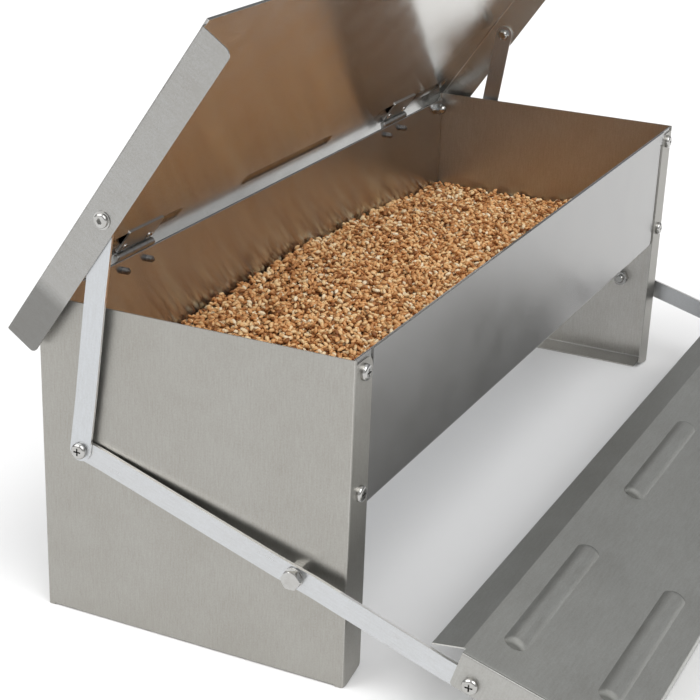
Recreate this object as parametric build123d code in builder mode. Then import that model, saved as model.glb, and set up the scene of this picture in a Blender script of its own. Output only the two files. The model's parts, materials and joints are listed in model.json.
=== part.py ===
"""Treadle feed trough: a bent-sheet trough between two side panels, with a hinged lid that
a treadle lifts through an arm and a link at each end.  Millimetres, +Z up, +X to the right,
front towards -Y, origin on the floor under the middle of the whole feeder.  The lid stands open
and the treadle is down."""
import os
from math import atan2, cos, degrees, dist, radians, sin

from build123d import *

os.makedirs("parts", exist_ok=True)

# ---------------------------------------------------------------- driving dimensions
sheet = 1.0
bend = 1.5                      # centre-line radius of a sheet bend

box_length = 700.0
box_depth = 240.0
box_height = 240.0
half_length = box_length / 2
front_y = -26.0                 # puts the origin under the middle of the whole feeder
rear_y = front_y + box_depth

flange = 27.0                   # width of every turned-in flange of a side panel
front_flange_top = 236.5
rear_flange_top = 233.0

trough_bottom = 128.0           # centre line of the trough's floor sheet
trough_gap = 1.5                # trough end to side panel
front_hem = 11.0
rear_wall_top = 235.0
rear_hem = 21.0
feed_depth = 37.0

side_screw_x = half_length - 14.5
front_screw_heights = (228.0, 142.0)
rear_screw_heights = (227.0, 142.0)

# hinges between the rear wall and the lid
knuckle_r = 2.9
hinge_pin_r = 1.4
leaf_thickness = 1.2
lid_leaf_n = 3.2                # hinge axis to the face of a leaf that lies on its sheet
wall_leaf_n = -1.0
leaf_length = 48.0
wall_leaf_width = 21.0
lid_leaf_width = 24.0
hinge_x = 230.0
hinge_screw_spacing = 33.0
hinge_screw_drop = 11.5
hinge_screw_r = 2.6
hinge_pivot = (rear_y - sheet + wall_leaf_n, 238.3)

# lid, measured from the hinge axis: r towards the rear, n away from the box
lid_open_angle = 55.6
lid_half = half_length + 9.5    # outer face of the lid's skirts
lid_rear = 31.0
lid_front = 244.0
skirt_front = 240.0
skirt_depth = 26.0
lid_hem = 8.0

# linkage, seen from the side as (y, z)
arm_pivot = (front_y + 34.0, 82.0)
link_foot = (front_y + 204.5, 133.5)
lid_pin_r = -87.5
lid_pin_n = -10.5

bar_width = 16.0
arm_thickness = 2.5
arm_link_gap = 1.4              # arm to side panel at the link, the pivot and the treadle
arm_pivot_gap = 7.4
arm_treadle_gap = 13.2
link_thickness = 2.0
link_low_gap = 4.2
link_high_gap = 6.2
play = 0.06                     # radial clearance of a running pivot

# treadle, measured from the arm pivot: r towards the rear, n square to the arm
treadle_rear = -123.3
treadle_depth = 123.0
treadle_top = 19.5
treadle_flange = 27.0
treadle_front_flange = 30.0
treadle_tail = 22.0
treadle_tail_angle = 24.0
treadle_screw_rs = (-138.0, -226.0)
treadle_end_step = 5.4          # ends of the turned edges to the outer face of a side flange

rib_length = 161.0
treadle_rib = (17.0, 3.4)       # width and height of a rib
lid_rib = (12.0, 2.4)
rib_xs = (-255.0, 0.0, 255.0)
treadle_rib_rs = (-148.0, -217.0)
lid_rib_r = -17.0

arm_angle = degrees(atan2(link_foot[1] - arm_pivot[1], link_foot[0] - arm_pivot[0]))
arm_reach = dist(arm_pivot, link_foot)


# ---------------------------------------------------------------- planes of the moving parts
def point_at(pivot, angle, r, n):
    """The (y, z) of a point r along and n square to a part turned by angle about pivot."""
    c, s = cos(radians(angle)), sin(radians(angle))
    return (pivot[0] + r * c - n * s, pivot[1] + r * s + n * c)


def side_plane(pivot, angle, x=0.0):
    """Side view of a turned part: sketch axes r and n, extruding towards +X."""
    c, s = cos(radians(angle)), sin(radians(angle))
    return Plane(origin=(x, pivot[0], pivot[1]), x_dir=(0, c, s), z_dir=(1, 0, 0))


def top_plane(pivot, angle, n=0.0):
    """Top view of a turned part at height n: sketch axes x and r, extruding away from it."""
    c, s = cos(radians(angle)), sin(radians(angle))
    y, z = point_at(pivot, angle, 0, n)
    return Plane(origin=(0, y, z), x_dir=(1, 0, 0), z_dir=(0, -s, c))


def front_plane(pivot, angle, r=0.0):
    """Front view of a turned part at r: sketch axes x and n, extruding towards the front."""
    c, s = cos(radians(angle)), sin(radians(angle))
    y, z = point_at(pivot, angle, r, 0)
    return Plane(origin=(0, y, z), x_dir=(1, 0, 0), z_dir=(0, -c, -s))


def outward(side, gap, y, z):
    """Plane facing out of a side of the box (side is -1 or 1), gap away from its panel."""
    return Plane(origin=(side * (half_length + gap), y, z), x_dir=(0, 1, 0), z_dir=(side, 0, 0))


lid_pivot, lid_angle = hinge_pivot, -lid_open_angle
lid_pin = point_at(lid_pivot, lid_angle, lid_pin_r, lid_pin_n)
link_length = dist(link_foot, lid_pin)
link_angle = degrees(atan2(lid_pin[1] - link_foot[1], lid_pin[0] - link_foot[0]))
lid_under = lid_leaf_n          # underside of the lid sheet above the hinge axis
lid_top = lid_under + sheet


# ---------------------------------------------------------------- fasteners, head up along +Z
def pan_screw(shank_r, shank_length, head_r, head_height, tip=0.7):
    """Cross-recessed pan-head screw with its head seated on z = 0; tip is its end chamfer."""
    with BuildPart() as screw:
        with Locations((0, 0, -shank_length)):
            Cylinder(shank_r, shank_length, align=(Align.CENTER, Align.CENTER, Align.MIN))
        with BuildSketch(Plane.XY):
            Circle(head_r)
        extrude(amount=head_height)
        fillet(screw.faces().sort_by(Axis.Z)[-1].edges(), head_height * 0.62)
        chamfer(screw.faces().sort_by(Axis.Z)[0].edges(), tip)
        with BuildSketch(Plane.XY.offset(head_height)):
            Rectangle(head_r * 0.95, head_r * 0.2)
            Rectangle(head_r * 0.2, head_r * 0.95)
        extrude(amount=-head_height * 0.6, mode=Mode.SUBTRACT, taper=8)
    return screw.part


def hex_piece(across_flats, height, bore_r=None):
    """Hexagonal nut or head standing on z = 0, its top corners rounded off, with a bore."""
    corner_r = across_flats / 2 / cos(radians(30))
    with BuildPart() as piece:
        with BuildSketch(Plane.XY):
            RegularPolygon(corner_r, 6)
        extrude(amount=height)
        with BuildSketch(Plane.XZ):
            with BuildLine():
                Polyline((0, 0), (corner_r, 0), (corner_r, height - 0.7),
                         (across_flats / 2 * 0.96, height), (0, height), close=True)
            make_face()
        revolve(axis=Axis.Z, mode=Mode.INTERSECT)
        if bore_r:
            with BuildSketch(Plane.XY):
                Circle(bore_r)
            extrude(amount=height, mode=Mode.SUBTRACT)
    return piece.part


def dome_nut(across_flats, height, bore_r):
    """Acorn nut on z = 0: a hexagon with a rounded cap, bored from below."""
    hexagon = hex_piece(across_flats, height * 0.45)
    cap_r = across_flats * 0.46
    with BuildPart() as nut:
        add(hexagon)
        with BuildSketch(Plane.XY):
            Circle(cap_r)
        extrude(amount=height)
        fillet(nut.faces().sort_by(Axis.Z)[-1].edges(), height * 0.5)
        with BuildSketch(Plane.XY):
            Circle(bore_r)
        extrude(amount=height * 0.7, mode=Mode.SUBTRACT)
    return nut.part


def group(piece, planes):
    """One copy of a piece on each plane, as one set of separate solids."""
    with BuildPart() as pieces:
        for plane in planes:
            add(plane.location * piece)
    return pieces


def finish(part, name):
    """Label a sub-part and write it to its own file."""
    part.part.label = name
    export_step(part.part, f"parts/{name}.step")


# ---------------------------------------------------------------- side panels
def flange_plate(top):
    """Front view of a turned-in flange: cut back at the foot, one rounded top corner."""
    inner_x = -half_length + flange
    root_x = -half_length + 2 * bend
    with BuildSketch(Plane.XZ) as plate:
        with BuildLine():
            Polyline((root_x, 0), (root_x + 4, 0), (inner_x, 5), (inner_x, top),
                     (root_x, top), close=True)
        make_face()
        fillet(plate.vertices().group_by(Axis.X)[-1].sort_by(Axis.Y)[-1], 8)
        fillet(plate.vertices().group_by(Axis.X)[-1].sort_by(Axis.Y)[0], 3)
    return plate.sketch


def side_panel():
    """Left side panel: a web with flanges turned in at the front, the rear and the foot."""
    web_x = -half_length + sheet / 2
    root_x = -half_length + 2 * bend
    foot_relief = 6.0
    front_plate = extrude(flange_plate(front_flange_top), amount=sheet)
    rear_plate = extrude(flange_plate(rear_flange_top), amount=sheet)
    with BuildPart() as panel:
        with BuildSketch(Plane.XY):
            with BuildLine() as bent:
                FilletPolyline((root_x, front_y + sheet / 2), (web_x, front_y + sheet / 2),
                               (web_x, rear_y - sheet / 2), (root_x, rear_y - sheet / 2),
                               radius=bend)
            trace(bent.line, sheet)
        extrude(amount=box_height)
        with Locations((web_x, (front_y + rear_y) / 2, 0)):
            Box(2 * sheet, box_depth - 2 * foot_relief, 2 * bend, mode=Mode.SUBTRACT,
                align=(Align.CENTER, Align.CENTER, Align.MIN))
        with BuildSketch(Plane.XZ.offset(-(rear_y - foot_relief))):
            with BuildLine() as turned:
                FilletPolyline((web_x, 2 * bend), (web_x, sheet / 2),
                               (-half_length + flange, sheet / 2), radius=bend)
            trace(turned.line, sheet)
        extrude(amount=box_depth - 2 * foot_relief)
        add(front_plate.moved(Location((0, front_y + sheet, 0))))
        add(rear_plate.moved(Location((0, rear_y, 0))))
        with BuildSketch(Plane.YZ.offset(-half_length)):
            with Locations(arm_pivot):
                Circle(4.2)
        extrude(amount=2 * sheet, mode=Mode.SUBTRACT)
        for y, heights in ((front_y, front_screw_heights), (rear_y, rear_screw_heights)):
            with Locations(*[Plane((-side_screw_x, y, z), z_dir=(0, 1, 0)) for z in heights]):
                Cylinder(3.2, 4 * sheet, mode=Mode.SUBTRACT)
    return panel


side_panel_left = side_panel()
with BuildPart() as side_panel_right:
    mirror(side_panel_left.part, about=Plane.YZ)
finish(side_panel_left, "side_panel_left")
finish(side_panel_right, "side_panel_right")


# ---------------------------------------------------------------- trough
wall_offset = 1.5 * sheet       # side panel's outer face to the centre of a trough wall
trough_length = box_length - 2 * (sheet + trough_gap)

with BuildPart() as feed_trough:
    with BuildSketch(Plane.YZ.offset(-trough_length / 2)):
        with BuildLine() as folded:
            FilletPolyline((front_y + wall_offset, box_height),
                           (front_y + wall_offset, trough_bottom),
                           (rear_y - wall_offset, trough_bottom),
                           (rear_y - wall_offset, rear_wall_top), radius=2.5)
        trace(folded.line, sheet)
    extrude(amount=trough_length)
    with BuildSketch(Plane.YZ.offset(-trough_length / 2)):
        with Locations((rear_y - wall_offset - sheet, rear_wall_top)):
            Rectangle(sheet, rear_hem, align=(Align.CENTER, Align.MAX))
    extrude(amount=trough_length)
    hem_length = box_length - 2 * flange - 1
    with BuildSketch(Plane.YZ.offset(-hem_length / 2)):
        with Locations((front_y + wall_offset - sheet, box_height)):
            Rectangle(sheet, front_hem, align=(Align.CENTER, Align.MAX))
    extrude(amount=hem_length)
    top_edges = feed_trough.edges().filter_by(Axis.X).group_by(Axis.Z)
    fillet(top_edges[-1].filter_by(lambda e: e.length < hem_length + 1), 0.45)
    fillet(feed_trough.edges().filter_by(Axis.X).filter_by(
        lambda e: abs(e.center().Z - rear_wall_top) < 0.01), 0.8)
    for y, heights in ((front_y, front_screw_heights), (rear_y, rear_screw_heights)):
        for x in (-side_screw_x, side_screw_x):
            with Locations(*[Plane((x, y, z), z_dir=(0, 1, 0)) for z in heights]):
                Cylinder(3.2, 8 * sheet, mode=Mode.SUBTRACT)
    hinge_screw_xs = [side * hinge_x + step * hinge_screw_spacing / 2
                      for side in (-1, 1) for step in (-1, 1)]
    hinge_screw_z = hinge_pivot[1] - hinge_screw_drop
    with Locations(*[Plane((x, rear_y, hinge_screw_z), z_dir=(0, 1, 0)) for x in hinge_screw_xs]):
        Cylinder(hinge_screw_r, 8 * sheet, mode=Mode.SUBTRACT)
finish(feed_trough, "feed_trough")


# ---------------------------------------------------------------- side panel screws
front_planes = [Plane((x, front_y, z), x_dir=(1, 0, 0), z_dir=(0, -1, 0))
                for x in (-side_screw_x, side_screw_x) for z in front_screw_heights]
front_nut_planes = [Plane((x, front_y + 2 * sheet, z), x_dir=(1, 0, 0), z_dir=(0, 1, 0))
                    for x in (-side_screw_x, side_screw_x) for z in front_screw_heights]
rear_planes = [Plane((x, rear_y, z), x_dir=(1, 0, 0), z_dir=(0, 1, 0))
               for x in (-side_screw_x, side_screw_x) for z in rear_screw_heights]

# the rear wall is three sheets thick where its hem lies over the upper screws
rear_nut_ys = {z: rear_y - (3 if z > rear_wall_top - rear_hem else 2) * sheet
               for z in rear_screw_heights}
rear_nut_planes = [Plane((x, rear_nut_ys[z], z), x_dir=(1, 0, 0), z_dir=(0, -1, 0))
                   for x in (-side_screw_x, side_screw_x) for z in rear_screw_heights]

m6 = 3.0
front_screws = group(pan_screw(m6, 9.5, 5.8, 3.6), front_planes)
front_nuts = group(hex_piece(10, 5, m6), front_nut_planes)
rear_screws = group(pan_screw(m6, 7.5, 5.8, 3.6), rear_planes)
rear_dome_nuts = group(dome_nut(10, 9, m6), rear_nut_planes)
finish(front_screws, "front_screws")
finish(front_nuts, "front_nuts")
finish(rear_screws, "rear_screws")
finish(rear_dome_nuts, "rear_dome_nuts")


# ---------------------------------------------------------------- feed in the trough
feed_bottom = trough_bottom + sheet / 2
feed_half = trough_length / 2 - 0.5
feed_front = front_y + 2 * sheet + 0.2
feed_rear = rear_y - 2 * sheet - 0.2
nut_planes = front_nut_planes + rear_nut_planes
with BuildPart() as feed_grain:
    with BuildSketch(Plane.XZ.offset(-feed_rear)):
        with BuildLine():
            rise = feed_bottom + feed_depth
            top = Spline((-feed_half, rise - 10), (-160, rise - 2), (0, rise),
                         (190, rise - 6), (feed_half, rise - 18))
            Polyline(top @ 1, (feed_half, feed_bottom + 2.4), (-feed_half, feed_bottom + 2.4),
                     top @ 0)
        make_face()
    extrude(amount=feed_rear - feed_front)
    with BuildSketch(Plane.XY.offset(feed_bottom)):
        with Locations((0, (feed_front + feed_rear) / 2)):
            Rectangle(2 * feed_half, feed_rear - feed_front - 5)
    extrude(amount=3)
    for plane in nut_planes:
        with Locations(plane):
            Cylinder(6.2, 10, align=(Align.CENTER, Align.CENTER, Align.MIN), mode=Mode.SUBTRACT)
finish(feed_grain, "feed_grain")


# ---------------------------------------------------------------- hinges
knuckle_count = 5
knuckle_pitch = leaf_length / knuckle_count
knuckle_gap = 0.3


def hinge_leaf(angle, face_n, width, centre_x, knuckles, bore_r, hole_distance, tip_axis):
    """A hinge leaf and its knuckles.  The leaf runs along -r of its turned frame with its
    outer face at face_n, and the end lowest along tip_axis has its corners rounded."""
    start_x = centre_x - leaf_length / 2
    with BuildPart() as leaf:
        with BuildSketch(side_plane(hinge_pivot, angle, start_x)):
            with Locations((0, face_n - leaf_thickness / 2)):
                Rectangle(width, leaf_thickness, align=(Align.MAX, Align.CENTER))
        extrude(amount=leaf_length)
        fillet(leaf.edges().filter_by(lambda e: abs(e.length - leaf_thickness) < 0.01)
               .group_by(tip_axis)[0], 2)
        for index in range(knuckle_count):
            cut_x = start_x + index * knuckle_pitch
            with BuildSketch(side_plane(hinge_pivot, angle, cut_x)):
                if index in knuckles:
                    Circle(knuckle_r)
                else:
                    Rectangle(2 * knuckle_r + 1.4, 4 * knuckle_r)
            if index in knuckles:
                extrude(amount=knuckle_pitch)
            else:
                extrude(amount=knuckle_pitch, mode=Mode.SUBTRACT)
        for index in range(1, knuckle_count):
            gap_x = start_x + index * knuckle_pitch - knuckle_gap / 2
            with BuildSketch(side_plane(hinge_pivot, angle, gap_x)):
                Rectangle(2 * knuckle_r + 1.4, 4 * knuckle_r)
            extrude(amount=knuckle_gap, mode=Mode.SUBTRACT)
        with BuildSketch(side_plane(hinge_pivot, angle, start_x)):
            Circle(bore_r)
        extrude(amount=leaf_length, mode=Mode.SUBTRACT)
        with BuildSketch(top_plane(hinge_pivot, angle, face_n)):
            with Locations(*[(centre_x + step * hinge_screw_spacing / 2, -hole_distance)
                             for step in (-1, 1)]):
                Circle(hinge_screw_r)
        extrude(amount=-2 * leaf_thickness, mode=Mode.SUBTRACT)
    return leaf


def hinge_pin(centre_x):
    """A hinge pin with a rounded head at each end."""
    head = 1.0
    with BuildPart() as pin:
        with BuildSketch(side_plane(hinge_pivot, 0, centre_x - leaf_length / 2)):
            Circle(hinge_pin_r)
        extrude(amount=leaf_length)
        with BuildSketch(side_plane(hinge_pivot, 0, centre_x - leaf_length / 2)):
            Circle(knuckle_r * 0.8)
        extrude(amount=-head)
        with BuildSketch(side_plane(hinge_pivot, 0, centre_x + leaf_length / 2)):
            Circle(knuckle_r * 0.8)
        extrude(amount=head)
        fillet(pin.faces().sort_by(Axis.X)[-1].edges(), 0.8)
        fillet(pin.faces().sort_by(Axis.X)[0].edges(), 0.8)
    return pin


lid_rivet_r = -6.6
for side, name in ((-1, "left"), (1, "right")):
    # the wall leaf hangs straight down: its frame's r points up and n to the front
    wall_leaf = hinge_leaf(90, wall_leaf_n, wall_leaf_width, side * hinge_x, (0, 2, 4),
                           hinge_pin_r, hinge_screw_drop, Axis.Z)
    finish(wall_leaf, f"hinge_wall_leaf_{name}")
    lid_leaf = hinge_leaf(lid_angle, lid_leaf_n, lid_leaf_width, side * hinge_x, (1, 3),
                          hinge_pin_r + 0.05, -lid_rivet_r, Axis.Y)
    finish(lid_leaf, f"hinge_lid_leaf_{name}")
    finish(hinge_pin(side * hinge_x), f"hinge_pin_{name}")

hinge_wall_screws = group(pan_screw(hinge_screw_r, 9.2, 4.6, 2.6, 1.9), [
    Plane((x, rear_y - sheet + leaf_thickness, hinge_screw_z), x_dir=(1, 0, 0), z_dir=(0, 1, 0))
    for x in hinge_screw_xs])
finish(hinge_wall_screws, "hinge_wall_screws")


# ---------------------------------------------------------------- lid
def round_rod(straight, rod_r):
    """A round-ended rod along X; straight is its length between the ends."""
    with BuildPart() as rod:
        with BuildSketch(Plane.XY):
            SlotOverall(straight + 2 * rod_r, 2 * rod_r)
            Rectangle(straight + 2 * rod_r, rod_r, align=(Align.CENTER, Align.MAX),
                      mode=Mode.SUBTRACT)
        revolve(axis=Axis.X)
    return rod.part


def pressed_ribs(pivot, angle, outer_n, rows, size):
    """Ribs pressed out of the sheet under construction, whose outer face is at outer_n: each
    is the crest of a round-ended rod lying under the sheet."""
    width, height = size
    rod_r = (width ** 2 / 4 + height ** 2) / (2 * height)
    depth = rod_r - height
    axes = top_plane(pivot, angle, outer_n - depth)
    with BuildPart(mode=Mode.PRIVATE) as crest:
        add(round_rod(rib_length - width, rod_r))
        with Locations((0, 0, depth - sheet / 2)):
            Box(2 * rib_length, 4 * rod_r, 4 * rod_r, mode=Mode.INTERSECT,
                align=(Align.CENTER, Align.CENTER, Align.MIN))
    places = [axes * Location((x, r, 0)) for x in rib_xs for r in rows]
    for place in places:
        add(place * crest.part)
    hollow = round_rod(rib_length - width, rod_r - sheet)
    for place in places:
        add(place * hollow, mode=Mode.SUBTRACT)


def skirt_outline(front_r, rear_r, top_n, depth, front_fillet, rear_fillet):
    """Side view of a turned-down skirt, its two lower corners rounded."""
    with BuildSketch(Plane.XY) as outline:
        with BuildLine():
            Polyline((front_r, top_n), (front_r, top_n - depth), (rear_r, top_n - depth),
                     (rear_r, top_n), close=True)
        make_face()
        fillet(outline.vertices().group_by(Axis.Y)[0].sort_by(Axis.X)[0], front_fillet)
        fillet(outline.vertices().group_by(Axis.Y)[0].sort_by(Axis.X)[-1], rear_fillet)
    return outline.sketch


lid_skirt = skirt_outline(-skirt_front, lid_rear, lid_top - 2 * bend,
                          skirt_depth - 2 * bend, 6, 4)
with BuildPart() as lid_panel:
    with BuildSketch(front_plane(lid_pivot, lid_angle, lid_rear)):
        with BuildLine() as lid_line:
            FilletPolyline((-lid_half + sheet / 2, lid_top - 2 * bend),
                           (-lid_half + sheet / 2, lid_top - sheet / 2),
                           (lid_half - sheet / 2, lid_top - sheet / 2),
                           (lid_half - sheet / 2, lid_top - 2 * bend), radius=bend)
        trace(lid_line.line, sheet)
    extrude(amount=lid_rear + skirt_front)
    for x in (-lid_half, lid_half - sheet):
        with BuildSketch(side_plane(lid_pivot, lid_angle, x)):
            add(lid_skirt)
        extrude(amount=sheet)
    lip_half = lid_half - 4
    with BuildSketch(side_plane(lid_pivot, lid_angle, -lip_half)):
        with Locations((-lid_front, lid_under)):
            Rectangle(lid_front - skirt_front + 1, sheet, align=(Align.MIN, Align.MIN))
        with Locations((-lid_front, lid_top)):
            Rectangle(lid_hem, sheet, align=(Align.MIN, Align.MIN))
    extrude(amount=2 * lip_half)
    pressed_ribs(lid_pivot, lid_angle, lid_top, (lid_rib_r,), lid_rib)
    with BuildSketch(top_plane(lid_pivot, lid_angle, lid_under - 1)):
        with Locations(*[(x, lid_rivet_r) for x in hinge_screw_xs]):
            Circle(hinge_screw_r)
    extrude(amount=4, mode=Mode.SUBTRACT)
    with BuildSketch(side_plane(lid_pivot, lid_angle, -lid_half - 1)):
        with Locations((lid_pin_r, lid_pin_n)):
            Circle(m6 + 0.2)
    extrude(amount=2 * lid_half + 2, mode=Mode.SUBTRACT)
finish(lid_panel, "lid_panel")

with BuildPart() as rivet:
    with BuildSketch(Plane.XY):
        Circle(4.0)
    extrude(amount=1.1)
    fillet(rivet.faces().sort_by(Axis.Z)[-1].edges(), 0.9)
    with BuildSketch(Plane.XY):
        Circle(hinge_screw_r)
    extrude(amount=-(sheet + leaf_thickness))
    with BuildSketch(Plane.XY.offset(-(sheet + leaf_thickness))):
        Circle(3.6)
    extrude(amount=-0.9)
    fillet(rivet.faces().sort_by(Axis.Z)[0].edges(), 0.6)
rivet_y, rivet_z = point_at(lid_pivot, lid_angle, lid_rivet_r, lid_top)
lid_normal = top_plane(lid_pivot, lid_angle).z_dir
hinge_lid_rivets = group(rivet.part, [
    Plane((x, rivet_y, rivet_z), x_dir=(1, 0, 0), z_dir=lid_normal) for x in hinge_screw_xs])
finish(hinge_lid_rivets, "hinge_lid_rivets")

# the bolt through each skirt, its shank ending flush with the skirt's inner face
with BuildPart() as lid_bolt:
    with BuildSketch(Plane.XY):
        Circle(6.2)
    extrude(amount=0.9)
    with BuildSketch(Plane.XY.offset(0.9)):
        Circle(5.1)
    extrude(amount=2.3)
    fillet(lid_bolt.faces().sort_by(Axis.Z)[-1].edges(), 1.7)
    with BuildSketch(Plane.XY.offset(3.2)):
        RegularPolygon(4 / 2 / cos(radians(30)), 6)
    extrude(amount=-2.0, mode=Mode.SUBTRACT)
    with BuildSketch(Plane.XY):
        Circle(m6)
    extrude(amount=-sheet)
lid_skirt_gap = lid_half - half_length
lid_link_bolts = group(lid_bolt.part, [outward(side, lid_skirt_gap, *lid_pin)
                                       for side in (-1, 1)])
finish(lid_link_bolts, "lid_link_bolts")


# ---------------------------------------------------------------- joggled bars
def joggled_bar(side, pivot, angle, start, end, thickness, course):
    """A round-ended flat bar along r from start to end.  The (r, gap) pairs of course say how
    far its inner face stands off the side panel; it runs on level past the first and last."""
    overrun = bar_width / 2
    inner = [(start - overrun, course[0][1]), *course, (end + overrun, course[-1][1])]
    outer = [(r, gap + thickness) for r, gap in reversed(inner)]
    with BuildPart() as bar:
        with BuildSketch(side_plane(pivot, angle, side * half_length)):
            with Locations(((start + end) / 2, 0)):
                SlotCenterToCenter(end - start, bar_width)
        extrude(amount=side * 20)
        with BuildSketch(top_plane(pivot, angle, -bar_width)):
            with BuildLine():
                Polyline(*[(side * (half_length + gap), r) for r, gap in inner + outer],
                         close=True)
            make_face()
        extrude(amount=2 * bar_width, mode=Mode.INTERSECT)
    return bar


def side_hole(pivot, angle, side, places, radius):
    """Drill round holes through a bar at places, each (r, n)."""
    with BuildSketch(side_plane(pivot, angle, side * half_length)) as holes:
        with Locations(*places):
            Circle(radius)
    extrude(holes.sketch, amount=side * 20, mode=Mode.SUBTRACT)


arm_front = treadle_screw_rs[-1]
arm_course = [(-118, arm_treadle_gap), (-15, arm_pivot_gap), (15, arm_pivot_gap),
              (160, arm_link_gap)]
link_course = [(40, link_low_gap), (110, link_high_gap)]
inner_dome_nut = dome_nut(10, 5.2, m6)
for side, name in ((-1, "left"), (1, "right")):
    arm_blank = joggled_bar(side, arm_pivot, arm_angle, arm_front, arm_reach, arm_thickness,
                            arm_course)
    link_blank = joggled_bar(side, link_foot, link_angle, 0, link_length, link_thickness,
                             link_course)
    with BuildPart() as treadle_arm:
        add(arm_blank.part)
        side_hole(arm_pivot, arm_angle, side, [(0, 0)], 4 + play)
        side_hole(arm_pivot, arm_angle, side, [(arm_reach, 0)], m6)
        side_hole(arm_pivot, arm_angle, side, [(r, 0) for r in treadle_screw_rs], m6 + 0.2)
    finish(treadle_arm, f"treadle_arm_{name}")

    with BuildPart() as link_bar:
        add(link_blank.part)
        side_hole(link_foot, link_angle, side, [(0, 0), (link_length, 0)], m6 + play)
    finish(link_bar, f"link_bar_{name}")

    with BuildPart() as lid_link_nut:
        inside = Plane((side * (half_length + link_high_gap), *lid_pin), x_dir=(0, 1, 0),
                       z_dir=(-side, 0, 0))
        add(inside.location * inner_dome_nut)
        with BuildSketch(outward(side, 0.9, *lid_pin)):
            Circle(m6)
        extrude(amount=link_high_gap + link_thickness - 0.9)
    finish(lid_link_nut, f"lid_link_nut_{name}")


# ---------------------------------------------------------------- pivots of the arms
m8 = 4.0
washer_gap = arm_pivot_gap + arm_thickness + 0.2
washer_thickness = 1.2
head_height = 5.3
inner_nut_height = 6.5

hex_head = hex_piece(13, head_height)
with BuildPart() as pivot_bolt:
    add(hex_head)
    with BuildSketch(Plane.XY):
        Circle(m8)
    extrude(amount=-(washer_thickness + washer_gap + sheet + inner_nut_height + 3))
    chamfer(pivot_bolt.faces().sort_by(Axis.Z)[0].edges(), 0.8)
pivot_bolts = group(pivot_bolt.part, [outward(side, washer_gap + washer_thickness, *arm_pivot)
                                      for side in (-1, 1)])
finish(pivot_bolts, "pivot_bolts")

with BuildPart() as washer:
    Cylinder(7.2, washer_thickness, align=(Align.CENTER, Align.CENTER, Align.MIN))
    Cylinder(m8, washer_thickness, align=(Align.CENTER, Align.CENTER, Align.MIN),
             mode=Mode.SUBTRACT)
pivot_washers = group(washer.part, [outward(side, washer_gap, *arm_pivot) for side in (-1, 1)])
finish(pivot_washers, "pivot_washers")

pivot_spacer_nuts = group(hex_piece(13, arm_pivot_gap - 0.2, m8),
                          [outward(side, 0, *arm_pivot) for side in (-1, 1)])
finish(pivot_spacer_nuts, "pivot_spacer_nuts")

pivot_inner_nuts = group(hex_piece(13, inner_nut_height, m8), [
    Plane((side * (half_length - sheet), *arm_pivot), x_dir=(0, 1, 0), z_dir=(-side, 0, 0))
    for side in (-1, 1)])
finish(pivot_inner_nuts, "pivot_inner_nuts")

link_foot_gap = link_low_gap + link_thickness + 0.2
link_foot_screws = group(pan_screw(m6, link_foot_gap - arm_link_gap, 5.8, 3.6),
                         [outward(side, link_foot_gap, *link_foot) for side in (-1, 1)])
finish(link_foot_screws, "link_foot_screws")


# ---------------------------------------------------------------- treadle
treadle_half = half_length + arm_treadle_gap + arm_thickness + sheet
treadle_front = treadle_rear - treadle_depth
treadle_skirt = skirt_outline(treadle_front + 1, treadle_rear - 1.5, treadle_top - 2 * bend,
                              treadle_flange - 2 * bend, 3, 3)
tail = (treadle_rear + treadle_tail * cos(radians(treadle_tail_angle)),
        treadle_top - sheet / 2 - treadle_tail * sin(radians(treadle_tail_angle)))
with BuildPart() as treadle_plate:
    with BuildSketch(front_plane(arm_pivot, arm_angle, treadle_rear - 1.5)):
        with BuildLine() as plate_line:
            FilletPolyline((-treadle_half + sheet / 2, treadle_top - 2 * bend),
                           (-treadle_half + sheet / 2, treadle_top - sheet / 2),
                           (treadle_half - sheet / 2, treadle_top - sheet / 2),
                           (treadle_half - sheet / 2, treadle_top - 2 * bend), radius=bend)
        trace(plate_line.line, sheet)
    extrude(amount=treadle_depth - 2.5)
    for x in (-treadle_half, treadle_half - sheet):
        with BuildSketch(side_plane(arm_pivot, arm_angle, x)):
            add(treadle_skirt)
        extrude(amount=sheet)
    turned_half = treadle_half - treadle_end_step
    with BuildSketch(side_plane(arm_pivot, arm_angle, -turned_half)):
        with BuildLine() as plate_profile:
            FilletPolyline((treadle_front + sheet / 2, treadle_top - treadle_front_flange),
                           (treadle_front + sheet / 2, treadle_top - sheet / 2),
                           (treadle_rear, treadle_top - sheet / 2), tail, radius=bend)
        trace(plate_profile.line, sheet)
    extrude(amount=2 * turned_half)
    pressed_ribs(arm_pivot, arm_angle, treadle_top, treadle_rib_rs, treadle_rib)
    with BuildSketch(side_plane(arm_pivot, arm_angle, -treadle_half - 1)):
        with Locations(*[(r, 0) for r in treadle_screw_rs]):
            Circle(m6 + 0.2)
    extrude(amount=2 * treadle_half + 2, mode=Mode.SUBTRACT)
finish(treadle_plate, "treadle_plate")

treadle_screw_planes = [outward(side, treadle_half - half_length,
                                *point_at(arm_pivot, arm_angle, r, 0))
                        for side in (-1, 1) for r in treadle_screw_rs]
treadle_nut_planes = [Plane((side * (half_length + arm_treadle_gap),
                             *point_at(arm_pivot, arm_angle, r, 0)),
                            x_dir=(0, 1, 0), z_dir=(-side, 0, 0))
                      for side in (-1, 1) for r in treadle_screw_rs]
treadle_screws = group(pan_screw(m6, 10.5, 5.8, 3.6), treadle_screw_planes)
treadle_nuts = group(hex_piece(10, 5, m6), treadle_nut_planes)
finish(treadle_screws, "treadle_screws")
finish(treadle_nuts, "treadle_nuts")
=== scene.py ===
"""Looks of the treadle feed trough: brushed stainless sheet, flat bars, fasteners and wheat.
Metres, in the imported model's own frame."""
import json
import math

import bpy
import numpy as np
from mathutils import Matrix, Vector
from mathutils.bvhtree import BVHTree


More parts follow.
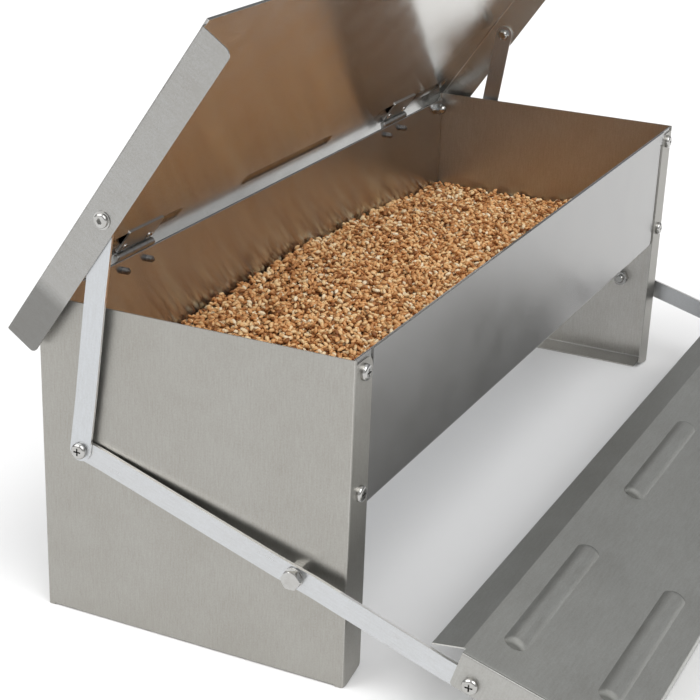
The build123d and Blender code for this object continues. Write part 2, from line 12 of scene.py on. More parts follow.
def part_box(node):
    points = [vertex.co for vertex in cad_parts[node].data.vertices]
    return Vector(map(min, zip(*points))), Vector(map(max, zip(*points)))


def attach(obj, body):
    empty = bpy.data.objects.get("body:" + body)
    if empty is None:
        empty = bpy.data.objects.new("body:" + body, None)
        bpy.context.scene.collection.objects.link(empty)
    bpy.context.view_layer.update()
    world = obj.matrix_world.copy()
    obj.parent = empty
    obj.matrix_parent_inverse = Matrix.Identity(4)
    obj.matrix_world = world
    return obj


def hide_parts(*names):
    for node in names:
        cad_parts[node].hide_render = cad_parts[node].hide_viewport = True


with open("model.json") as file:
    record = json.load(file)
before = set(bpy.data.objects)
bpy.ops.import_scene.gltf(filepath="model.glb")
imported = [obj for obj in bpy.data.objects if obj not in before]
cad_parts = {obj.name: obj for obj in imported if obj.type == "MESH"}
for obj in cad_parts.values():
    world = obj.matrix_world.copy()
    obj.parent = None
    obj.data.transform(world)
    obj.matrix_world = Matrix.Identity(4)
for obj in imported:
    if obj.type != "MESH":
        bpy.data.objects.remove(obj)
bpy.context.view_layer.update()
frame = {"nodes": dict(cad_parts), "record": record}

NODES = frame["nodes"]
rng = np.random.default_rng(20477)
MM = 0.001

# turned frames of the moving parts, degrees about +X
LID_TURN = -55.6
TREADLE_TURN = 16.81
LINK_TURN = 98.18


# ---------------------------------------------------------------- camera, floor and light
CAMERA_PLACE = (-1.2777, -0.4550, 0.6503)
CAMERA_TURN = (66.298, -1.869, -63.818)         # degrees
LENS, SENSOR = 90.47, 36.0                      # millimetres
SHIFT = (0.0174, 0.0954)

WORLD_LEFT = (0.60, 0.60, 0.60)
WORLD_RIGHT = (0.30, 0.30, 0.305)
WORLD_TOP = (0.90, 0.90, 0.90)
TOP_FROM, TOP_TO = 0.55, 0.95                   # height of the direction where the top comes in
# each softbox: strength, angle across in degrees, the direction it shines from
SOFTBOXES = ((2.0, 50.0, (-0.50, 0.60, 0.75)),
             (1.6, 45.0, (-0.25, -0.55, 0.80)))
FLOOR_REACH = 30.0
FLOOR_COLOUR = (0.80, 0.80, 0.80, 1)
FLOOR_DROP = 0.0002                             # keeps the floor clear of the feet's faces


def make_camera():
    data = bpy.data.cameras.new("camera")
    cam = bpy.data.objects.new("camera", data)
    bpy.context.scene.collection.objects.link(cam)
    cam.location = CAMERA_PLACE
    cam.rotation_euler = [math.radians(a) for a in CAMERA_TURN]
    data.lens = LENS
    data.sensor_width = SENSOR
    data.shift_x, data.shift_y = SHIFT
    data.clip_start, data.clip_end = 0.05, 100
    bpy.context.scene.camera = cam


def make_world():
    """Soft studio surround: bright to the left and overhead, dimmer to the right."""
    world = bpy.data.worlds.new("studio")
    bpy.context.scene.world = world
    world.use_nodes = True
    nt = world.node_tree
    nt.nodes.clear()
    coord = nt.nodes.new("ShaderNodeTexCoord")
    parts = nt.nodes.new("ShaderNodeSeparateXYZ")
    nt.links.new(coord.outputs["Generated"], parts.inputs[0])
    side = nt.nodes.new("ShaderNodeValToRGB")
    side.color_ramp.elements[0].position = 0.0
    side.color_ramp.elements[0].color = (*WORLD_LEFT, 1)
    side.color_ramp.elements[1].position = 1.0
    side.color_ramp.elements[1].color = (*WORLD_RIGHT, 1)
    half = nt.nodes.new("ShaderNodeMapRange")
    half.inputs["From Min"].default_value = -1.0
    nt.links.new(parts.outputs["X"], half.inputs["Value"])
    nt.links.new(half.outputs[0], side.inputs[0])
    lift = nt.nodes.new("ShaderNodeMapRange")
    lift.inputs["From Min"].default_value = TOP_FROM
    lift.inputs["From Max"].default_value = TOP_TO
    nt.links.new(parts.outputs["Z"], lift.inputs["Value"])
    mix = nt.nodes.new("ShaderNodeMix")
    mix.data_type = "RGBA"
    nt.links.new(lift.outputs[0], mix.inputs[0])
    nt.links.new(side.outputs[0], mix.inputs[6])
    mix.inputs[7].default_value = (*WORLD_TOP, 1)
    back = nt.nodes.new("ShaderNodeBackground")
    nt.links.new(mix.outputs[2], back.inputs[0])
    out = nt.nodes.new("ShaderNodeOutputWorld")
    nt.links.new(back.outputs[0], out.inputs[0])


def make_softboxes():
    for number, (strength, angle, place) in enumerate(SOFTBOXES):
        data = bpy.data.lights.new(f"softbox_{number}", "SUN")
        data.energy = strength
        data.angle = math.radians(angle)
        box = bpy.data.objects.new(data.name, data)
        box.rotation_euler = Vector(place).to_track_quat("Z", "Y").to_euler()
        bpy.context.scene.collection.objects.link(box)


def make_floor():
    mesh = bpy.data.meshes.new("floor")
    corners = [(x * FLOOR_REACH, y * FLOOR_REACH, 0) for x, y in ((-1, -1), (1, -1), (1, 1), (-1, 1))]
    mesh.from_pydata(corners, [], [(0, 1, 2, 3)])
    floor = bpy.data.objects.new("floor", mesh)
    floor.location.z = -FLOOR_DROP
    bpy.context.scene.collection.objects.link(floor)
    mat = bpy.data.materials.new("floor")
    mat.use_nodes = True
    bsdf = mat.node_tree.nodes["Principled BSDF"]
    bsdf.inputs["Base Color"].default_value = FLOOR_COLOUR
    bsdf.inputs["Roughness"].default_value = 0.7
    bsdf.inputs["Specular IOR Level"].default_value = 0.2
    mesh.materials.append(mat)


# ---------------------------------------------------------------- materials
class Shader:
    """A material and short ways to add nodes to it."""

    def __init__(self, name):
        self.mat = bpy.data.materials.new(name)
        self.mat.use_nodes = True
        self.tree = self.mat.node_tree
        self.bsdf = self.tree.nodes["Principled BSDF"]

    def node(self, kind, **settings):
        made = self.tree.nodes.new("ShaderNode" + kind)
        for key, value in settings.items():
            setattr(made, key, value)
        return made

    def link(self, a, b):
        self.tree.links.new(a, b)

    def coords(self, turn):
        """Object coordinates turned into a part's own x, r, n axes."""
        coord = self.node("TexCoord")
        place = self.node("Mapping")
        place.inputs["Rotation"].default_value = (math.radians(-turn), 0, 0)
        self.link(coord.outputs["Object"], place.inputs["Vector"])
        return coord, place.outputs[0]

    def scaled(self, vector, scale):
        grow = self.node("VectorMath", operation="MULTIPLY")
        self.link(vector, grow.inputs[0])
        grow.inputs[1].default_value = scale
        return grow.outputs[0]

    def noise(self, vector, scale, detail=2.0, rough=0.5):
        tex = self.node("TexNoise")
        tex.inputs["Scale"].default_value = scale
        tex.inputs["Detail"].default_value = detail
        tex.inputs["Roughness"].default_value = rough
        self.link(vector, tex.inputs["Vector"])
        return tex.outputs[0]

    def spread(self, value, low, high, start=0.3, end=0.7):
        """A noise value stretched from start..end to low..high."""
        remap = self.node("MapRange")
        for key, number in (("From Min", start), ("From Max", end),
                            ("To Min", low), ("To Max", high)):
            remap.inputs[key].default_value = number
        self.link(value, remap.inputs["Value"])
        return remap.outputs[0]

    def math(self, operation, a, b):
        made = self.node("Math", operation=operation)
        for socket, value in zip(made.inputs, (a, b)):
            if isinstance(value, (int, float)):
                socket.default_value = value
            else:
                self.link(value, socket)
        return made.outputs[0]

    def mix_vector(self, factor, a, b):
        made = self.node("Mix", data_type="VECTOR")
        self.link(factor, made.inputs[0])
        for socket, value in ((made.inputs[4], a), (made.inputs[5], b)):
            if isinstance(value, tuple):
                socket.default_value = value
            else:
                self.link(value, socket)
        return made.outputs[1]

    def ramp(self, value, stops):
        made = self.node("ValToRGB")
        ramp = made.color_ramp
        while len(ramp.elements) < len(stops):
            ramp.elements.new(0.5)
        for element, (place, colour) in zip(ramp.elements, stops):
            element.position = place
            element.color = (*colour, 1)
        self.link(value, made.inputs[0])
        return made.outputs[0]

    def mix_colour(self, factor, a, b):
        made = self.node("Mix", data_type="RGBA")
        self.link(factor, made.inputs[0])
        for socket, value in ((made.inputs[6], a), (made.inputs[7], b)):
            if isinstance(value, tuple):
                socket.default_value = (*value, 1)
            else:
                self.link(value, socket)
        return made.outputs[2]

    def axes(self, vector):
        """A vector's X, Y and Z outputs."""
        made = self.node("SeparateXYZ")
        self.link(vector, made.inputs[0])
        return made.outputs

    def bump(self, height, distance, strength=1.0, under=None, **settings):
        """The normal of a bump, laid over another bump's normal if there is one."""
        made = self.node("Bump", **settings)
        made.inputs["Strength"].default_value = strength
        made.inputs["Distance"].default_value = distance
        self.link(height, made.inputs["Height"])
        if under:
            self.link(under, made.inputs["Normal"])
        return made.outputs[0]

    def cells(self, vector, scale):
        """The distances of a Voronoi pattern."""
        made = self.node("TexVoronoi")
        made.inputs["Scale"].default_value = scale
        self.link(vector, made.inputs["Vector"])
        return made.outputs["Distance"]

    def finish(self, colour, rough, normal, **values):
        """Link the three patterned inputs and set the plain ones.  Returns the material."""
        for key, output in (("Base Color", colour), ("Roughness", rough), ("Normal", normal)):
            self.link(output, self.bsdf.inputs[key])
        for key, number in values.items():
            self.bsdf.inputs[key.replace("_", " ")].default_value = number
        return self.mat

    def tint(self, colour, value, depth):
        """The colour from darker and warmer to lighter and cooler as value goes 0 to 1."""
        low = tuple(c * (1 - depth * w) for c, w in zip(colour, (0.9, 1.0, 1.12)))
        high = tuple(min(1, c * (1 + depth * w)) for c, w in zip(colour, (0.9, 1.0, 1.12)))
        return self.ramp(value, [(0.0, low), (1.0, high)])


GRAIN = 800.0                    # brush lines across a sheet
SLOW_GRAIN = GRAIN / 9           # and along their own length
TURNED = 0.7                     # a normal that leans further than this to x is a side face
GRAIN_RELIEF = 0.01
PAINTED_SHADE_COLOUR = (0.06, 0.06, 0.055)  # near black that painted shade on the rib ends and slopes and by the hinge is mixed with
DULL_ROUGHER = 0.35              # how much rougher the dullest rib ends are


def beyond_planes(s, place, planes):
    """1 past any of the planes (axis, place, sign), else 0.  Sign 0 is both ways."""
    where = s.axes(place)
    beyond = 0.0
    for axis, limit, sign in planes:
        value = where[axis]
        if sign == 0:
            value, sign = s.math("ABSOLUTE", value, 0), 1
        past = s.math("GREATER_THAN" if sign > 0 else "LESS_THAN", value, limit)
        beyond = s.math("MAXIMUM", past, beyond)
    return beyond


def brush_direction(s, normal, place, turned, r_axis, along):
    """The coordinates of the brush lines, and the direction across them in the world."""
    down = s.scaled(place, (GRAIN, GRAIN, SLOW_GRAIN))
    if along == "x":
        lines = s.mix_vector(turned, s.scaled(place, (SLOW_GRAIN, GRAIN, GRAIN)), down)
        cross = s.node("VectorMath", operation="CROSS_PRODUCT")
        s.link(normal, cross.inputs[0])
        cross.inputs[1].default_value = (1, 0, 0)
        across = s.mix_vector(turned, cross.outputs[0], r_axis)
    else:
        lines = down
        across = s.mix_vector(turned, (1.0, 0.0, 0.0), r_axis)
    to_world = s.node("VectorTransform", vector_type="VECTOR", convert_from="OBJECT",
                      convert_to="WORLD")
    s.link(across, to_world.inputs[0])
    return lines, to_world.outputs[0]


def rib_shade_masks(s, normal, normal_x, turned, r_axis, amounts):
    """Masks of painted shade: on the rib ends alone (these are also made rougher), and on the ends
    and the rear slopes of the ribs.
    """
    lean = s.node("VectorMath", operation="DOT_PRODUCT")
    s.link(normal, lean.inputs[0])
    lean.inputs[1].default_value = r_axis
    ends = s.math("MULTIPLY", s.spread(normal_x, 0, amounts[0], 0.12, 0.5),
                  s.math("SUBTRACT", 1, turned))
    slopes = s.spread(lean.outputs["Value"], 0, amounts[1], 0.1, 0.5)
    return ends, s.math("MAXIMUM", ends, slopes)


def brushed(name, colour, rough, stretch, turn=0.0, along="x", depth=0.07, swell=0.0,
            painted_outer_shade=None, painted_edge_highlight=None, painted_rib_shade=None, painted_hinge_shade=None):
    """Brushed stainless sheet.  The brush lines run along x, or z for along='z', and carry
    on down the faces turned away from the sheet's own plane.  swell is the height of the
    sheet's own slow waves.  painted_outer_shade gives the outside faces painted shade, a darker
    copy of the sheet colour that stands for darker surroundings in their reflection: that colour,
    and the planes (axis, place, sign) that they lie beyond.  painted_edge_highlight is the near
    white painted highlight on the faces that do not face along x, the bars' narrow sides.
    painted_rib_shade is how much painted shade darkens the rib ends and the rear slopes of
    pressed ribs.  painted_hinge_shade is the start, end and strength of a band of painted shade
    by a hinge, along the part's own r axis."""
    s = Shader(name)
    coord, place = s.coords(turn)
    normal = coord.outputs["Normal"]
    normal_x = s.math("ABSOLUTE", s.axes(normal)["X"], 0)
    turned = s.math("GREATER_THAN", normal_x, TURNED)
    r_axis = (0.0, math.cos(math.radians(turn)), math.sin(math.radians(turn)))
    lines, tangent = brush_direction(s, normal, place, turned, r_axis, along)
    s.link(tangent, s.bsdf.inputs["Tangent"])
    streaks = s.noise(lines, 1.0, 3.0, 0.6)
    clouds = s.noise(place, 26.0, 3.0, 0.6)
    speckle = s.noise(place, 760.0, 2.0, 0.7)
    blend = s.math("ADD", s.math("MULTIPLY", streaks, 0.38),
                   s.math("ADD", s.math("MULTIPLY", clouds, 0.24),
                          s.math("MULTIPLY", speckle, 0.38)))
    tone = s.spread(blend, 0, 1, 0.36, 0.64)
    gloss = s.math("ADD", s.spread(streaks, -0.02, 0.02),
                   s.spread(clouds, rough - 0.02, rough + 0.02))
    base = s.tint(colour, tone, depth)
    # Painted shade: faces past the given planes get a darker copy of the sheet colour, standing for
    # darker surroundings in their reflection.
    if painted_outer_shade:
        base = s.mix_colour(beyond_planes(s, place, painted_outer_shade[1]), base,
                            s.tint(painted_outer_shade[0], tone, depth))
    # Painted highlight: the bars' narrow faces get a near white colour in place of the light that
    # their rounded corners would catch.
    if painted_edge_highlight:
        base = s.mix_colour(turned, s.tint(painted_edge_highlight, tone, depth), base)
    # Painted shade: the rib ends and the rear slopes of the ribs are mixed towards near black.
    if painted_rib_shade:
        ends, rib_shade = rib_shade_masks(s, normal, normal_x, turned, r_axis, painted_rib_shade)
        base = s.mix_colour(rib_shade, base, PAINTED_SHADE_COLOUR)
        gloss = s.math("ADD", gloss, s.math("MULTIPLY", ends, DULL_ROUGHER))
    # Painted shade: a band across the lid by the hinge is mixed towards near black, standing for a
    # darker reflection there.
    if painted_hinge_shade:
        hinge_shade = s.spread(s.axes(place)["Y"], 0, painted_hinge_shade[2], painted_hinge_shade[0], painted_hinge_shade[1])
        base = s.mix_colour(hinge_shade, base, PAINTED_SHADE_COLOUR)
    waves = s.bump(s.noise(s.scaled(place, (7.0, 15.0, 15.0)), 1.0, 1.0, 0.4),
                   max(swell, 0.00001))
    relief = s.bump(s.math("ADD", streaks, s.math("MULTIPLY", speckle, 0.6)), 0.0002,
                    GRAIN_RELIEF, waves)
    return s.finish(base, gloss, relief, Metallic=1.0, Anisotropic=stretch)


def small_metal(name, colour, rough, thread=0.0):
    """Plated or turned hardware: fine tool marks, rubbed patches and small pits, and rings
    of thread at this pitch along the screw's own y axis."""
    s = Shader(name)
    _, place = s.coords(0)
    marks = s.noise(s.scaled(place, (1.0, 1.0, 5.0)), 420.0, 4.0, 0.65)
    patches = s.noise(place, 160.0, 2.0, 0.5)
    pits = s.cells(place, 900.0)
    both = s.math("ADD", s.math("MULTIPLY", marks, 0.5), s.math("MULTIPLY", patches, 0.5))
    groove = None
    if thread:
        rings = s.math("SINE", s.math("MULTIPLY", s.axes(place)["Y"], 2 * math.pi / thread), 0)
        groove = s.bump(rings, thread / 4)
    relief = s.bump(s.math("ADD", marks, s.spread(pits, 0, 0.5, 0.0, 0.4)), 0.0001, 0.03, groove)
    return s.finish(s.tint(colour, s.spread(both, 0, 1), 0.16),
                    s.spread(marks, rough - 0.05, rough + 0.07), relief, Metallic=1.0)


def wheat():
    """Kernels: tone by kernel, a paler brush end, a darker germ end and a wrinkled skin."""
    s = Shader("wheat")
    _, place = s.coords(0)
    tone = s.node("Attribute", attribute_name="tone").outputs["Fac"]
    end = s.node("Attribute", attribute_name="end").outputs["Fac"]
    skin = s.noise(place, 900.0, 3.0, 0.6)
    value = s.math("ADD", s.math("MULTIPLY", tone, 0.95), s.math("MULTIPLY", skin, 0.16))
    value = s.math("ADD", value, s.math("MULTIPLY", end, 0.07))
    colour = s.ramp(value, [(0.10, (0.26, 0.095, 0.026)), (0.34, (0.56, 0.250, 0.085)),
                            (0.56, (0.82, 0.460, 0.195)), (0.78, (0.92, 0.660, 0.350)),
                            (1.00, (0.98, 0.840, 0.600))])
    return s.finish(colour, s.spread(skin, 0.38, 0.58), s.bump(skin, 0.0003, 0.35),
                    Specular_IOR_Level=0.4)


def chaff():
    """Pale papery husk with fine ribs along it."""
    s = Shader("chaff")
    _, place = s.coords(0)
    fibre = s.noise(s.scaled(place, (1.0, 2.5, 2.5)), 700.0, 2.0, 0.6)
    colour = s.ramp(fibre, [(0.3, (0.66, 0.50, 0.30)), (0.7, (0.90, 0.78, 0.58))])
    return s.finish(colour, s.spread(fibre, 0.5, 0.7), s.bump(fibre, 0.0002))


def buried_kernels_painted_shade():
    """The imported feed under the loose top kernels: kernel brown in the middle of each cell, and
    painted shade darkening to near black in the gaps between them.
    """
    s = Shader("buried_kernels_painted_shade")
    _, place = s.coords(0)
    cells = s.cells(place, 240.0)
    # Painted shade: the colour darkens to near black towards the cells' borders, where the gaps
    # between kernels would be.
    colour = s.ramp(cells, [(0.0, (0.36, 0.17, 0.07)), (0.8, (0.09, 0.035, 0.012))])
    return s.finish(colour, s.spread(s.noise(place, 500.0), 0.6, 0.85),
                    s.bump(cells, 0.002, invert=True))


def turned_r(point, turn):
    """How far a point (y, z) lies along the r axis of a frame turned about +X."""
    a = math.radians(turn)
    return point[0] * math.cos(a) + point[1] * math.sin(a)


def turned_z(point, turn):
    """How far a point (y, z) lies along the n axis of a frame turned about +X."""
    a = math.radians(turn)
    return point[1] * math.cos(a) - point[0] * math.sin(a)


HINGE = (0.212, 0.2383)          # y and z of the lid's axis
FRONT_FACE, REAR_FACE = -0.026, 0.214
OUTER_X = 0.3495                 # just inside the side panels' outer faces
LID_OUTER_X = 0.359              # just inside the lid skirts' outer faces
TREADLE_OUTER_X = 0.3662         # just inside the treadle flanges' outer faces
LID_FACE = turned_z(HINGE, LID_TURN) + 3.7 * MM      # inside the lid sheet's thickness
HINGE_R = turned_r(HINGE, LID_TURN)
# The second colour given to each sheet is painted shade for its outside faces.
LOOKS = {
    "side_sheet": brushed("side_sheet", (0.56, 0.545, 0.515), 0.38, along="z", stretch=0.6,
                          depth=0.12, painted_outer_shade=((0.36, 0.350, 0.324), (
                              ("X", OUTER_X, 0), ("Y", FRONT_FACE + 0.5 * MM, -1),
                              ("Y", REAR_FACE - 0.5 * MM, 1)))),
    "trough_sheet": brushed("trough_sheet", (0.58, 0.60, 0.62), 0.21, stretch=1.0, depth=0.07,
                            painted_outer_shade=((0.34, 0.336, 0.330), (
                                ("Y", FRONT_FACE + 1.6 * MM, -1),
                                ("Y", REAR_FACE - 1.3 * MM, 1)))),
    "lid_sheet": brushed("lid_sheet", (0.58, 0.57, 0.54), 0.21, turn=LID_TURN, stretch=1.0,
                         depth=0.13, painted_hinge_shade=(HINGE_R - 22 * MM, HINGE_R - 10 * MM, 0.50),
                         painted_outer_shade=((0.375, 0.37, 0.355), (
                             ("X", LID_OUTER_X, 0), ("Z", LID_FACE, 1)))),
    "treadle_sheet": brushed("treadle_sheet", (0.525, 0.528, 0.50), 0.42, turn=TREADLE_TURN,
                             stretch=0.5, depth=0.10, swell=0.004, painted_rib_shade=(0.85, 0.28),
                             painted_outer_shade=((0.40, 0.395, 0.375), (("X", TREADLE_OUTER_X, 0),))),
    "hinge_metal": brushed("hinge_metal", (0.42, 0.42, 0.41), 0.34, stretch=0.5),
    "fastener": small_metal("fastener", (0.46, 0.455, 0.44), 0.13),
    "dark_fastener": small_metal("dark_fastener", (0.26, 0.25, 0.24), 0.30, thread=0.0009),
    # The bars' near white second colour is a painted highlight on their narrow faces.
    "arm_bar": brushed("arm_bar", (0.54, 0.55, 0.56), 0.30, turn=TREADLE_TURN - 90,
                       along="z", stretch=0.6, depth=0.07, painted_edge_highlight=(0.93, 0.92, 0.90)),
    "link_bar": brushed("link_bar", (0.53, 0.545, 0.56), 0.30, turn=LINK_TURN - 90,
                        along="z", stretch=0.6, depth=0.07, painted_edge_highlight=(0.93, 0.92, 0.90)),
}


def look_of(node):
    if node.startswith("treadle_arm"):
        return "arm_bar"
    if node.startswith("link_bar"):
        return "link_bar"
    for row in frame["record"]["subparts"]:
        if row["node"] == node:
            return row["material_slot"]
    return "fastener"


def dress_nodes():
    for name, node in NODES.items():
        look = LOOKS.get(look_of(name))
        if look is None:
            continue
        for place in range(len(node.material_slots)):
            node.material_slots[place].material = look


# ---------------------------------------------------------------- wheat in the trough
KERNELS = 16500
PILES = 6
HUSKS = 150
CELL = 0.9 * MM
HALF_LENGTH, HALF_WIDTH, HALF_HEIGHT = 2.9 * MM, 1.62 * MM, 1.5 * MM
RAISED_FROM = 0.10       # to the right of this x the heap rises a little
# the heap's slow waves: height in millimetres, radians per metre along x and y, phase
WAVES = ((0.9, 19, 31, 0.4), (0.7, -43, 37, 1.9), (0.5, 71, -57, 4.0), (0.35, 103, 121, 2.2))
WALL_CELLS = 2           # no kernel's middle falls nearer to a wall than this
TRIES = 5                # places tried for each kernel, of which it takes the lowest
STEEPEST = 0.7           # slope that a kernel lies on at most
RESTS_AT = 86            # percent of what is under a kernel that lies lower than its belly
SETTLED = 0.9            # how much of a kernel's own height it adds to the pile
SUNK = 5.5 * MM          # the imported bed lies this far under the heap's surface
BED_STEP = 6             # cells to each face of the bed
BED_LIFT, BED_INSET = 1.5 * MM, 3 * MM
HUSK_SIZES = 1.6, 3.4    # millimetres from middle to tip
HUSK_MARGIN = 4 * MM     # from the walls
HUSK_LIFT = 0.7 * MM     # above the pile


def husk_shape():
    """A thin curled flake of chaff."""
    us, vs = np.linspace(-1, 1, 6), np.linspace(-1, 1, 4)
    points = [(u, v * math.sqrt(max(0.05, 1 - u * u)) * 0.42, 0.10 * v * v - 0.12 * u * u)
              for u in us for v in vs]
    faces = []
    for i in range(len(us) - 1):
        for j in range(len(vs) - 1):
            a = i * len(vs) + j
            b = a + len(vs)
            faces += [(a, b, b + 1), (a, b + 1, a + 1)]
    return np.array(points), np.array(faces)


def heap_surface():
    """The xs and ys of a grid across the trough, and the heap's height over it."""
    low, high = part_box("feed_grain")
    grain = NODES["feed_grain"]
    tree = BVHTree.FromObject(grain, bpy.context.evaluated_depsgraph_get())
    xs = np.arange(low.x, high.x, CELL)
    ys = np.arange(low.y, high.y, CELL)
    middle = (low.y + high.y) / 2
    tops = []
    for x in xs:
        hit = tree.ray_cast(Vector((x, middle, high.z + 0.1)), Vector((0, 0, -1)))[0]
        tops.append(hit.z if hit else low.z)
    right = np.clip((xs - RAISED_FROM) / (high.x - RAISED_FROM), 0, 1)[:, None] ** 1.5
    across = ((ys - middle) / (high.y - middle))[None, :]
    waves = sum(size * MM * np.sin(xs[:, None] * a + ys[None, :] * b + phase)
                for size, a, b, phase in WAVES)
    shape = np.array(tops)[:, None] + right * (1.5 - across) * MM + waves
    return xs, ys, shape


def drop_kernels(xs, ys):
    """Kernels let fall one by one, each where the pile is low, lying as the pile under it
    slopes.  Returns a row for each, with its x, y, height above the heap's surface, yaw,
    pitch, size and cell, and the level that the pile reaches over each cell."""
    nx, ny = len(xs), len(ys)
    reach = int(math.ceil(HALF_LENGTH * 1.15 / CELL))
    level = np.zeros((nx + 2 * reach, ny + 2 * reach))
    side = np.arange(-reach, reach + 1) * CELL
    gx, gy = np.meshgrid(side, side, indexing="ij")
    rows = []
    picks_x = rng.integers(WALL_CELLS, nx - WALL_CELLS, (KERNELS, TRIES))
    picks_y = rng.integers(WALL_CELLS, ny - WALL_CELLS, (KERNELS, TRIES))
    yaws = rng.uniform(0, 2 * math.pi, KERNELS)
    leans = rng.normal(0, 0.3, KERNELS)
    sizes = np.clip(rng.normal(1.0, 0.09, KERNELS), 0.78, 1.2)
    tips = rng.normal(0, 0.24, KERNELS)
    for k in range(KERNELS):
        best = int(np.argmin(level[picks_x[k] + reach, picks_y[k] + reach]))
        i, j = picks_x[k, best], picks_y[k, best]
        # close to a wall a kernel lies along it
        if min(j, ny - 1 - j) * CELL < HALF_LENGTH:
            yaws[k] = leans[k]
        elif min(i, nx - 1 - i) * CELL < HALF_LENGTH:
            yaws[k] = leans[k] + math.pi / 2
        c, s = math.cos(yaws[k]), math.sin(yaws[k])
        a, b, h = (v * sizes[k] for v in (HALF_LENGTH, HALF_WIDTH, HALF_HEIGHT))
        u, v = gx * c + gy * s, gy * c - gx * s
        inside = 1 - (u / a) ** 2 - (v / b) ** 2
        mask = inside > 0
        dome = h * np.sqrt(inside[mask])
        patch = level[i:i + 2 * reach + 1, j:j + 2 * reach + 1]
        under = patch[mask]
        along = u[mask]
        slope = float(np.clip(np.dot(under - under.mean(), along) / np.dot(along, along),
                              -STEEPEST, STEEPEST)) + tips[k]
        centre = float(np.percentile(under + dome - slope * along, RESTS_AT))
        patch[mask] = np.maximum(under, centre + dome * SETTLED + slope * along)
        rows.append((xs[i], ys[j], centre, yaws[k], math.atan(slope), sizes[k], i, j))
    return np.array(rows), level[reach:-reach, reach:-reach]


def kernel_shape():
    """One wheat kernel along x: blunt germ end, tapered brush end, crease underneath."""
    rings = ((-0.80, 0.56), (-0.34, 0.96), (0.20, 0.97), (0.70, 0.62))
    turns = 7
    points, ends = [(-1.0, 0.0, -0.05)], [-1.0]
    for t, radius in rings:
        for k in range(turns):
            angle = 2 * math.pi * k / turns - math.pi / 2
            r = radius * (0.66 if k == 0 else 1.0)
            points.append((t, r * math.cos(angle), r * math.sin(angle) - 0.05 * t * t))
            ends.append(t)
    points.append((1.0, 0.0, -0.06))
    ends.append(1.0)
    last = len(points) - 1
    faces = []
    for k in range(turns):
        nxt = (k + 1) % turns
        faces.append((0, 1 + nxt, 1 + k))
        for ring in range(len(rings) - 1):
            a, b = 1 + ring * turns, 1 + (ring + 1) * turns
            faces.append((a + k, a + nxt, b + nxt))
            faces.append((a + k, b + nxt, b + k))
        top = 1 + (len(rings) - 1) * turns
        faces.append((top + k, top + nxt, last))
    return np.array(points), np.array(ends), np.array(faces)


def fast_mesh(name, points, faces):
    """A smooth mesh from arrays of points and of faces with equally many corners."""
    mesh = bpy.data.meshes.new(name)
    mesh.vertices.add(len(points))
    mesh.vertices.foreach_set("co", points.astype(np.float32).ravel())
    mesh.loops.add(faces.size)
    mesh.loops.foreach_set("vertex_index", faces.astype(np.int32).ravel())
    mesh.polygons.add(len(faces))
    mesh.polygons.foreach_set("loop_start",
                              np.arange(0, faces.size, faces.shape[1], dtype=np.int32))
    mesh.update(calc_edges=True)
    mesh.validate()
    mesh.shade_smooth()
    return mesh


def add_feed(mesh, material):
    """A piece of the feed, which stands for the CAD's plain solid."""
    mesh.materials.append(material)
    piece = bpy.data.objects.new(mesh.name, mesh)
    bpy.context.scene.collection.objects.link(piece)
    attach(piece, "housing")
    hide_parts("feed_grain")


def turn_matrices(yaw, pitch, roll):
    """Rotation matrices for arrays of yaw about z, pitch up along x and roll about x."""
    cy, sy, cp, sp = np.cos(yaw), np.sin(yaw), np.cos(pitch), np.sin(pitch)
    cr, sr = np.cos(roll), np.sin(roll)
    zero, one = np.zeros_like(yaw), np.ones_like(yaw)
    rz = np.array([[cy, -sy, zero], [sy, cy, zero], [zero, zero, one]]).transpose(2, 0, 1)
    ry = np.array([[cp, zero, -sp], [zero, one, zero], [sp, zero, cp]]).transpose(2, 0, 1)
    rx = np.array([[one, zero, zero], [zero, cr, -sr], [zero, sr, cr]]).transpose(2, 0, 1)
    return rz @ ry @ rx


def make_bed(xs, ys, base):
    """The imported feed: a closed block whose top follows the heap."""
    bx, by, heights = xs[::BED_STEP], ys[::BED_STEP], base[::BED_STEP, ::BED_STEP]
    nx, ny = len(bx), len(by)
    top = np.stack([np.repeat(bx, ny), np.tile(by, nx), heights.ravel()], 1)
    low = top.copy()
    low[:, 2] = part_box("feed_grain")[0].z + BED_LIFT
    low[:, 1] = np.clip(low[:, 1], by[0] + BED_INSET, by[-1] - BED_INSET)
    under = nx * ny
    quads = []
    for i in range(nx - 1):
        for j in range(ny - 1):
            a, b = i * ny + j, (i + 1) * ny + j
            quads.append((a, b, b + 1, a + 1))
            quads.append((a + under, a + 1 + under, b + 1 + under, b + under))
    rim = ([(i, 0) for i in range(nx - 1)] + [(nx - 1, j) for j in range(ny - 1)]
           + [(i, ny - 1) for i in range(nx - 1, 0, -1)] + [(0, j) for j in range(ny - 1, 0, -1)])
    for (i, j), (k, m) in zip(rim, rim[1:] + rim[:1]):
        a, b = i * ny + j, k * ny + m
        quads.append((a, a + under, b + under, b))
    add_feed(fast_mesh("feed_bed", np.concatenate([top, low]), np.array(quads)), buried_kernels_painted_shade())


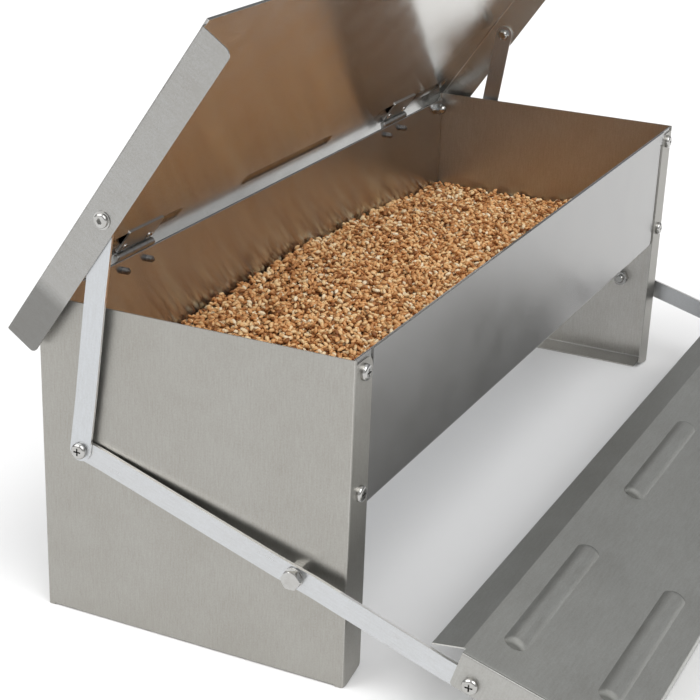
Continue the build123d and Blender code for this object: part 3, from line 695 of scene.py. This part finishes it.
def make_kernels(rows, base):
    """The loose kernels, in piles from left to right."""
    cells = rows[:, 6].astype(int), rows[:, 7].astype(int)
    gx, gy = np.gradient(base, CELL)
    yaw = rows[:, 3]
    tilt = gx[cells] * np.cos(yaw) + gy[cells] * np.sin(yaw)
    pitch = rows[:, 4] + np.arctan(tilt)
    roll = rng.choice([0.0, math.pi], KERNELS, p=[0.6, 0.4]) + rng.normal(0, 0.45, KERNELS)
    turns = turn_matrices(yaw, pitch, roll)
    shape, ends, faces = kernel_shape()
    thick = rng.normal(1.0, 0.07, KERNELS)
    sizes = np.stack([rows[:, 5] * HALF_LENGTH, rows[:, 5] * HALF_WIDTH * thick,
                      rows[:, 5] * HALF_HEIGHT * thick], 1)
    points = shape[None, :, :] * sizes[:, None, :]
    points = np.einsum("kij,kpj->kpi", turns, points)
    points += np.stack([rows[:, 0], rows[:, 1], rows[:, 2] + base[cells]], 1)[:, None, :]
    tone = np.clip(rng.normal(0.47, 0.24, KERNELS), 0, 1)
    material = wheat()
    order = np.argsort(rows[:, 0], kind="stable")
    for pile, picks in enumerate(np.array_split(order, PILES)):
        count, each = len(picks), len(shape)
        shift = (np.arange(count) * each)[:, None, None]
        mesh = fast_mesh(f"feed_kernels_{pile + 1}", points[picks].reshape(-1, 3),
                         (faces[None] + shift).reshape(-1, 3))
        for name, values in (("tone", np.repeat(tone[picks], each)),
                             ("end", np.tile(ends, count))):
            mesh.attributes.new(name, "FLOAT", "POINT").data.foreach_set(
                "value", values.astype(np.float32))
        add_feed(mesh, material)


def make_husks(xs, ys, tops):
    """Pale chaff scattered over the heap."""
    shape, faces = husk_shape()
    margin = int(HUSK_MARGIN / CELL)
    i = rng.integers(margin, len(xs) - margin, HUSKS)
    j = rng.integers(margin, len(ys) - margin, HUSKS)
    turns = turn_matrices(rng.uniform(0, 2 * math.pi, HUSKS), rng.normal(0, 0.35, HUSKS),
                          rng.normal(0, 0.5, HUSKS))
    points = shape[None] * (rng.uniform(*HUSK_SIZES, HUSKS) * MM)[:, None, None]
    points = np.einsum("kij,kpj->kpi", turns, points)
    points += np.stack([xs[i], ys[j], tops[i, j] + HUSK_LIFT], 1)[:, None, :]
    shift = (np.arange(HUSKS) * len(shape))[:, None, None]
    mesh = fast_mesh("feed_husks", points.reshape(-1, 3), (faces[None] + shift).reshape(-1, 3))
    add_feed(mesh, chaff())


def make_feed():
    """The bed, the kernels on it and the husks on those."""
    xs, ys, surface = heap_surface()
    rows, level = drop_kernels(xs, ys)
    base = surface - SUNK
    make_bed(xs, ys, base)
    make_kernels(rows, base)
    make_husks(xs, ys, base + level)


make_camera()
make_world()
make_softboxes()
make_floor()
dress_nodes()
make_feed()
bpy.context.scene.view_settings.view_transform = "Standard"
